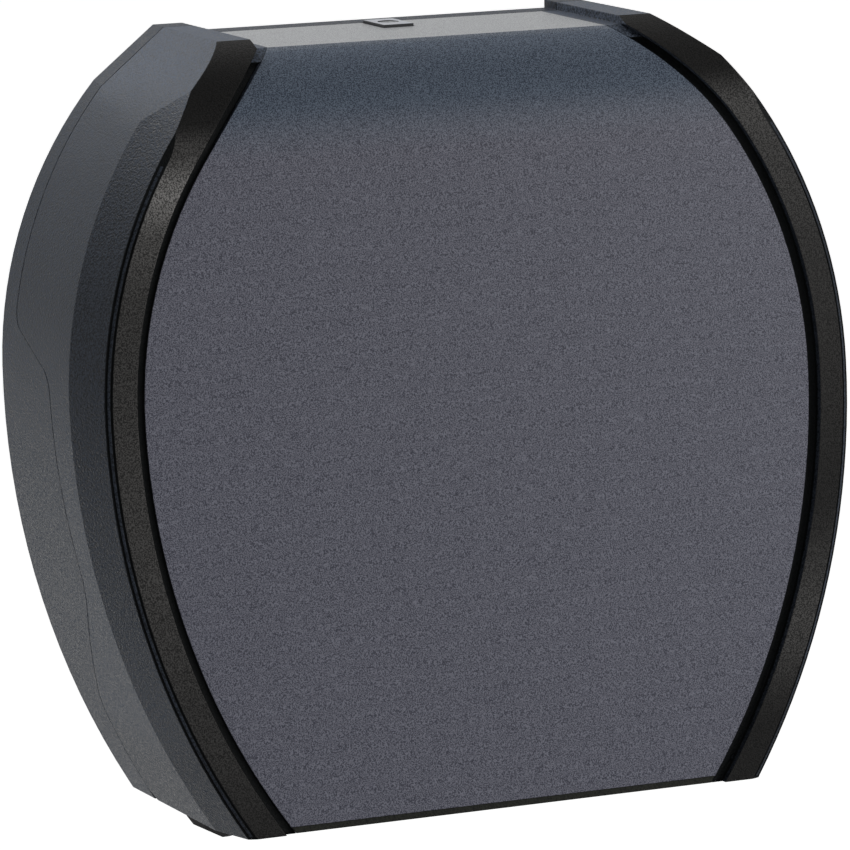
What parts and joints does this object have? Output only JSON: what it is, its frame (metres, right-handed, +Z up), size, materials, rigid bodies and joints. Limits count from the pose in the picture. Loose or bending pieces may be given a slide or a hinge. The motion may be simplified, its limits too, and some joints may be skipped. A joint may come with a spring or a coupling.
{
  "type": "jumbo toilet roll dispenser",
  "caption": "Wall-hung dispenser for a jumbo toilet roll: barrel-shaped black case, smoke-grey hinged cover that locks at the top, and toothed tear bars below.",
  "frame": {"origin": "on the wall face, midway between the four wall slots, at the middle of the case height", "axes": "+Z up, +Y into the wall, the front looks towards -Y, +X to the right for someone who faces it"},
  "size_m": [0.36, 0.125, 0.3385],
  "materials": {
    "housing_black": "fine moulded grain",
    "cheek_black": "fine moulded grain",
    "smoke_plastic": "translucent smoke grey with a satin grain",
    "rail_black": "fine moulded grain",
    "bar_black": "smooth",
    "inner_grey": "smooth",
    "hub_white": "smooth",
    "washer_black": "smooth",
    "lock_grey": "satin",
    "plug_grey": "satin",
    "cam_steel": "zinc plated",
    "pin_steel": "ground",
    "screw_steel": "zinc plated",
    "spring_steel": "blued",
    "core_card": "wound grey-brown cardboard",
    "tissue_paper": "soft embossed tissue"
  },
  "bodies": {
    "housing": {"rear_housing": "housing_black", "roll_spindle": "inner_grey", "spindle_screws": "screw_steel", "friction_washer": "washer_black", "hub_clip": "spring_steel", "tear_bar_left": "bar_black", "tear_bar_right": "bar_black", "tear_bar_screws": "screw_steel", "hinge_pins": "pin_steel", "lock_housing": "lock_grey", "lock_housing_screws": "screw_steel"},
    "cover": {"left_cheek": "cheek_black", "right_cheek": "cheek_black", "smoke_panel": "smoke_plastic", "bottom_rail": "rail_black", "top_rail": "rail_black", "rail_screws": "screw_steel", "lock_keeper": "cam_steel", "keeper_screws": "screw_steel"},
    "roll": {"roll_hub": "hub_white", "roll_core": "core_card", "paper_roll": "tissue_paper"},
    "lock": {"lock_plug": "plug_grey", "lock_cam": "cam_steel", "cam_screw": "screw_steel"}
  },
  "joints": [
    {"name": "cover_hinge", "type": "hinge", "parent": "housing", "child": "cover", "pos_m": [0, -0.0363, -0.1572], "axis": [1, 0, 0], "range_deg": [0, 100]},
    {"name": "roll_spin", "type": "hinge", "parent": "housing", "child": "roll", "pos_m": [0, -0.0528, -0.004], "axis": [0, 1, 0], "continuous": true},
    {"name": "lock_turn", "type": "hinge", "parent": "housing", "child": "lock", "pos_m": [0, -0.0225, 0.15], "axis": [0, 0, 1], "range_deg": [0, 90]}
  ]
}
